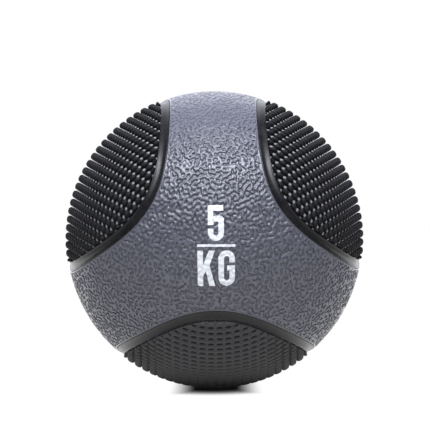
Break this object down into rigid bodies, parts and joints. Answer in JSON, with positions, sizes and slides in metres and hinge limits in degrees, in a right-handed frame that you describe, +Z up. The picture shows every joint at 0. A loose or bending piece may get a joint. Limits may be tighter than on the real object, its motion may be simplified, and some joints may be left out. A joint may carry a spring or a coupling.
{
  "type": "medicine ball",
  "caption": "Weighted rubber exercise ball with a textured cover, rounded-triangle studded grip patches in smooth rims, and an inflation valve.",
  "frame": {"origin": "centre of the ball, which is also the centre of every spherical layer", "axes": "-Y through the middle of the three-armed cover area that carries the weight mark, +Z up, +X to the right seen from the mark's side"},
  "size_m": [0.2316, 0.2308, 0.2308],
  "materials": {
    "cover_rubber": "matt slate grey with a raised worm-like grain",
    "rim_rubber": "smooth satin black",
    "grip_rubber": "satin black",
    "core_rubber": "dull dark grey, filled with mineral powder",
    "nylon_thread": "off-white wound thread",
    "butyl_rubber": "smooth dull black",
    "valve_rubber": "smooth matt black",
    "valve_seal_rubber": "soft matt dark grey",
    "print_ink": "thin pale screen-print ink"
  },
  "bodies": {
    "root": {"outer_cover": "cover_rubber", "rim_back": "rim_rubber", "rim_left": "rim_rubber", "rim_right": "rim_rubber", "rim_under": "rim_rubber", "grip_pad_back": "grip_rubber", "grip_pad_left": "grip_rubber", "grip_pad_right": "grip_rubber", "grip_pad_under": "grip_rubber", "core_upper": "core_rubber", "core_lower": "core_rubber", "thread_winding": "nylon_thread", "bladder": "butyl_rubber", "valve_housing": "valve_rubber", "valve_core": "valve_seal_rubber"}
  },
  "joints": []
}
